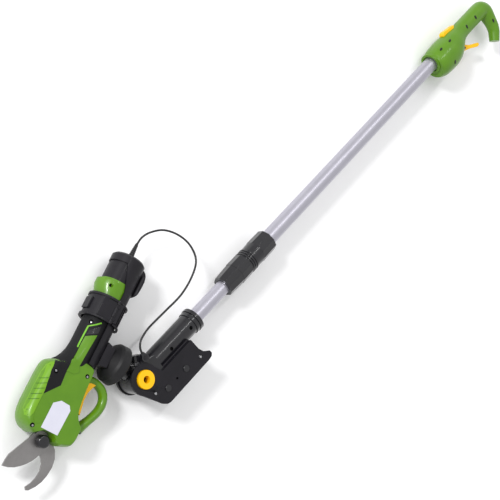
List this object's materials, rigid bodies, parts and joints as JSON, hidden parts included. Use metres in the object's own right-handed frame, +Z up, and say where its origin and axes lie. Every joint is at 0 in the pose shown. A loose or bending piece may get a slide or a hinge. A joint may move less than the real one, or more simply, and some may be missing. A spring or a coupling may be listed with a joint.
{
  "type": "pole pruning shear",
  "caption": "Cordless bypass pruning shear held in a tilting cradle on a telescopic aluminium pole with a hooked trigger handle and a thin link cord.",
  "frame": {"origin": "foot of the tilt hinge pin, on the surface the tool lies on", "axes": "+X along the pole towards its handle, +Y towards the side the shear lies on, +Z up along the hinge axis"},
  "size_m": [1.2485, 0.2321, 0.0632],
  "materials": {
    "anodised_tube": "satin anodised",
    "black_moulding": "semi gloss",
    "charcoal_moulding": "satin",
    "green_moulding": "fine grain",
    "light_green_moulding": "fine grain",
    "amber_moulding": "semi gloss",
    "soft_grip": "matt",
    "cord_jacket": "satin",
    "blade_steel": "satin ground",
    "plated_steel": "zinc plated",
    "bronzed_pin": "satin",
    "gear_case": "cast",
    "cell_wrap": "film",
    "board": "board",
    "label_film": "film"
  },
  "bodies": {
    "pole": {"outer_tube": "anodised_tube", "clamp_sleeve": "black_moulding", "clamp_collet": "charcoal_moulding", "handle_upper": "green_moulding", "handle_lower": "green_moulding", "handle_screws": "plated_steel", "handle_switch": "charcoal_moulding", "trigger_spring": "plated_steel", "tube_anchor": "charcoal_moulding"},
    "twist_nut": {"clamp_nut": "black_moulding"},
    "lower_pole": {"inner_tube": "anodised_tube", "glide_bush": "charcoal_moulding", "bracket_upper": "black_moulding", "bracket_lower": "black_moulding", "bracket_screws": "plated_steel", "side_plate": "charcoal_moulding", "plate_screws": "plated_steel", "hinge_pin": "bronzed_pin", "hinge_nut": "plated_steel", "cord_clip": "black_moulding", "clip_screw": "plated_steel", "thumb_lug": "plated_steel", "tilt_spring": "plated_steel"},
    "finger_lever": {"handle_trigger": "amber_moulding"},
    "lock_slider": {"handle_lock": "amber_moulding"},
    "thumb": {"thumb_screw": "black_moulding"},
    "button": {"tilt_button": "amber_moulding"},
    "head": {"arm": "black_moulding", "cradle": "charcoal_moulding", "cradle_cup": "charcoal_moulding", "strap_pin": "plated_steel", "strain_relief": "black_moulding", "link_cord": "cord_jacket", "shell_upper": "green_moulding", "shell_lower": "green_moulding", "shell_screws": "plated_steel", "grip_upper": "soft_grip", "grip_lower": "soft_grip", "rear_collar": "green_moulding", "battery_case": "charcoal_moulding", "battery_cells": "cell_wrap", "battery_contacts": "plated_steel", "control_board": "board", "drive_motor": "plated_steel", "gearbox": "gear_case", "fixed_blade": "blade_steel", "pivot_bolt": "plated_steel", "pivot_cap": "black_moulding", "shear_spring": "plated_steel", "front_cover": "light_green_moulding", "blank_label": "label_film"},
    "bell": {"bell_nut": "soft_grip"},
    "band": {"strap": "charcoal_moulding", "strap_latch": "charcoal_moulding"},
    "cutter": {"moving_blade": "blade_steel"},
    "pinion": {"drive_pinion": "plated_steel"},
    "shear_lever": {"shear_trigger": "amber_moulding"}
  },
  "joints": [
    {"name": "pole_extend", "type": "slide", "parent": "pole", "child": "lower_pole", "axis": [-1, 0, 0], "range_m": [0, 0.4]},
    {"name": "clamp_twist", "type": "hinge", "parent": "pole", "child": "twist_nut", "pos_m": [0.236, 0, 0.031], "axis": [1, 0, 0], "range_deg": [0, 120]},
    {"name": "finger_lever_squeeze", "type": "hinge", "parent": "pole", "child": "finger_lever", "pos_m": [0.896, -0.022, 0.031], "axis": [0, 0, 1], "range_deg": [0, 12], "stiffness_Nm_per_rad": 0.4, "springref_deg": -11.46},
    {"name": "lock_press", "type": "slide", "parent": "pole", "child": "lock_slider", "axis": [0, -1, 0], "range_m": [0, 0.003], "stiffness_N_per_m": 600, "springref_m": -0.002},
    {"name": "thumb_turn", "type": "hinge", "parent": "lower_pole", "child": "thumb", "pos_m": [0.01315, 0.02696, 0.039], "axis": [0.4384, 0.8988, 0], "range_deg": [0, 90]},
    {"name": "tilt_release", "type": "slide", "parent": "lower_pole", "child": "button", "axis": [0, 0, -1], "range_m": [0, 0.003], "stiffness_N_per_m": 800, "springref_m": -0.003, "deforming": ["tilt_spring"]},
    {"name": "head_tilt", "type": "hinge", "parent": "lower_pole", "child": "head", "pos_m": [0, 0, 0.031], "axis": [0, 0, 1], "range_deg": [0, 75]},
    {"name": "bell_turn", "type": "hinge", "parent": "head", "child": "bell", "pos_m": [-0.01475, 0.04357, 0.031], "axis": [-0.3206, 0.9472, 0], "range_deg": [0, 90]},
    {"name": "strap_open", "type": "hinge", "parent": "head", "child": "band", "pos_m": [0.02416, 0.10953, 0.0602], "axis": [0.9472, 0.3206, 0], "range_deg": [0, 95]},
    {"name": "blade_cut", "type": "hinge", "parent": "head", "child": "cutter", "pos_m": [-0.17002, 0.0438, 0.033], "axis": [0, 0, 1], "range_deg": [0, 40]},
    {"name": "pinion_spin", "type": "hinge", "parent": "head", "child": "pinion", "pos_m": [-0.15013, 0.05053, 0.033], "axis": [0, 0, 1], "range_deg": [-110, 10]},
    {"name": "shear_squeeze", "type": "hinge", "parent": "head", "child": "shear_lever", "pos_m": [-0.06571, 0.05377, 0.031], "axis": [0, 0, -1], "range_deg": [0, 6], "stiffness_Nm_per_rad": 0.5, "springref_deg": -8.59}
  ],
  "couplings": [
    {"joint": "pinion_spin", "follows": "blade_cut", "ratio": -2.5}
  ]
}
